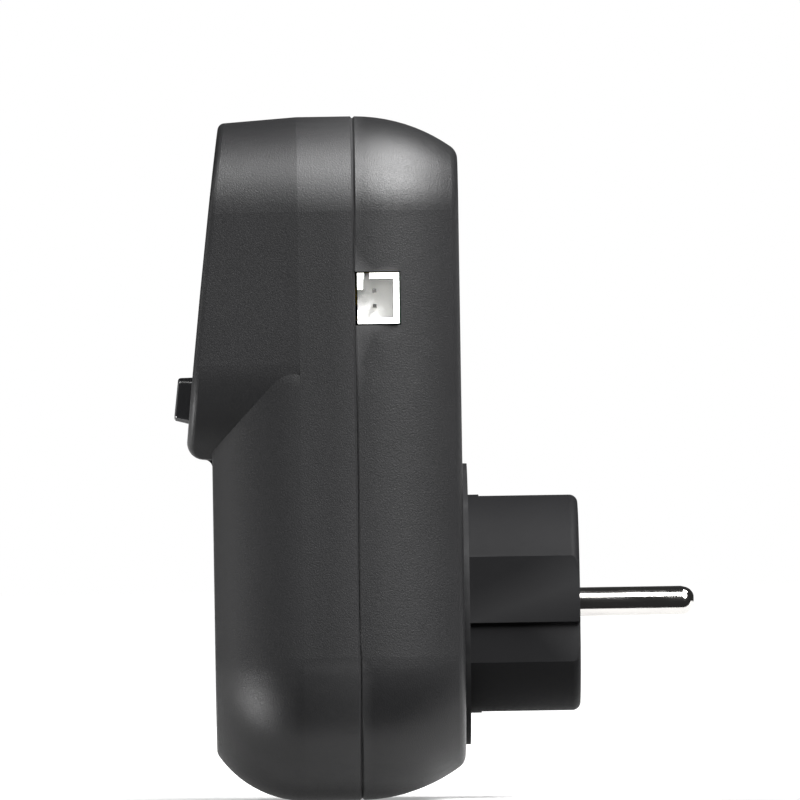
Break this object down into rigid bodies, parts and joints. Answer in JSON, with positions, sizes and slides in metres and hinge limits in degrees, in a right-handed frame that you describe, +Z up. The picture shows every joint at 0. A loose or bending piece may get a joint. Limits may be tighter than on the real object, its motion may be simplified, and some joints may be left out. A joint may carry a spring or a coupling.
{
  "type": "smart plug",
  "caption": "Plug-in switched mains adaptor with a grounded round-pin plug, shuttered round socket, press button on a sloping hood and a small white sensor port in its flank",
  "frame": {"origin": "the plug's axis on the rear face of its flange, which meets the wall outlet", "axes": "+Z up toward the hood's crown, +Y along the plug pins into the wall, +X out of the flank that has the sensor port"},
  "size_m": [0.062, 0.0861, 0.1139],
  "materials": {
    "front_shell": "fine-grained matte black",
    "rear_cover": "fine-grained matte black",
    "socket_cup": "smooth black",
    "shutter_slider": "natural white",
    "shutter_spring": "spring wire",
    "contact_carrier": "natural white",
    "socket_contact_live": "plain brass",
    "socket_contact_neutral": "plain brass",
    "carrier_screws": "zinc plated",
    "cup_screws": "zinc plated",
    "socket_earth_bracket": "nickel plated strip",
    "plug_insert": "smooth black, low gloss",
    "plug_pins": "bright nickel",
    "plug_earth_bracket": "nickel plated strip",
    "plug_earth_sleeve": "plain brass",
    "plug_retainer": "black",
    "plug_screws": "zinc plated",
    "line_in_bar": "tinned copper",
    "neutral_bar": "tinned copper",
    "line_out_bar": "tinned copper",
    "earth_link": "tinned copper",
    "power_board": "green laminate",
    "relay": "black case",
    "transformer": "taped winding",
    "x_capacitor": "yellow case",
    "smoothing_capacitor": "sleeved can",
    "fuse": "ceramic tube",
    "varistor": "dipped disc",
    "board_screws": "zinc plated",
    "housing_screws": "black zinc",
    "sensor_header_housing": "white nylon",
    "sensor_header_pins": "tinned",
    "control_board": "green laminate",
    "control_screws": "zinc plated",
    "tact_switch": "black",
    "tact_plunger": "black",
    "button_cap": "glossy black",
    "controller_chip": "moulded package",
    "radio_module": "blue laminate",
    "radio_shield": "tinned can",
    "status_led": "clear package",
    "light_pipe": "clear acrylic",
    "board_link_pins": "gold flash",
    "board_link_base": "black"
  },
  "bodies": {
    "housing": {"front_shell": "front_shell", "rear_cover": "rear_cover", "socket_cup": "socket_cup", "contact_carrier": "contact_carrier", "socket_contact_live": "socket_contact_live", "socket_contact_neutral": "socket_contact_neutral", "carrier_screws": "carrier_screws", "cup_screws": "cup_screws", "socket_earth_bracket": "socket_earth_bracket", "plug_insert": "plug_insert", "plug_pins": "plug_pins", "plug_earth_bracket": "plug_earth_bracket", "plug_earth_sleeve": "plug_earth_sleeve", "plug_retainer": "plug_retainer", "plug_screws": "plug_screws", "line_in_bar": "line_in_bar", "neutral_bar": "neutral_bar", "line_out_bar": "line_out_bar", "earth_link": "earth_link", "power_board": "power_board", "relay": "relay", "transformer": "transformer", "x_capacitor": "x_capacitor", "smoothing_capacitor": "smoothing_capacitor", "fuse": "fuse", "varistor": "varistor", "board_screws": "board_screws", "housing_screws": "housing_screws", "sensor_header_housing": "sensor_header_housing", "sensor_header_pins": "sensor_header_pins", "control_board": "control_board", "control_screws": "control_screws", "tact_switch": "tact_switch", "controller_chip": "controller_chip", "radio_module": "radio_module", "radio_shield": "radio_shield", "status_led": "status_led", "light_pipe": "light_pipe", "board_link_pins": "board_link_pins", "board_link_base": "board_link_base"},
    "button": {"button_cap": "button_cap", "tact_plunger": "tact_plunger"},
    "shutter": {"shutter_slider": "shutter_slider", "shutter_spring": "shutter_spring"}
  },
  "joints": [
    {"name": "button_press", "type": "slide", "parent": "housing", "child": "button", "axis": [0, 0.9935, -0.1141], "range_m": [0, 0.0005], "stiffness_N_per_m": 800, "springref_m": -0.001},
    {"name": "shutter_slide", "type": "slide", "parent": "housing", "child": "shutter", "axis": [0, 0, 1], "range_m": [0, 0.0064], "stiffness_N_per_m": 60, "springref_m": -0.004, "deforming": ["shutter_spring"]}
  ]
}
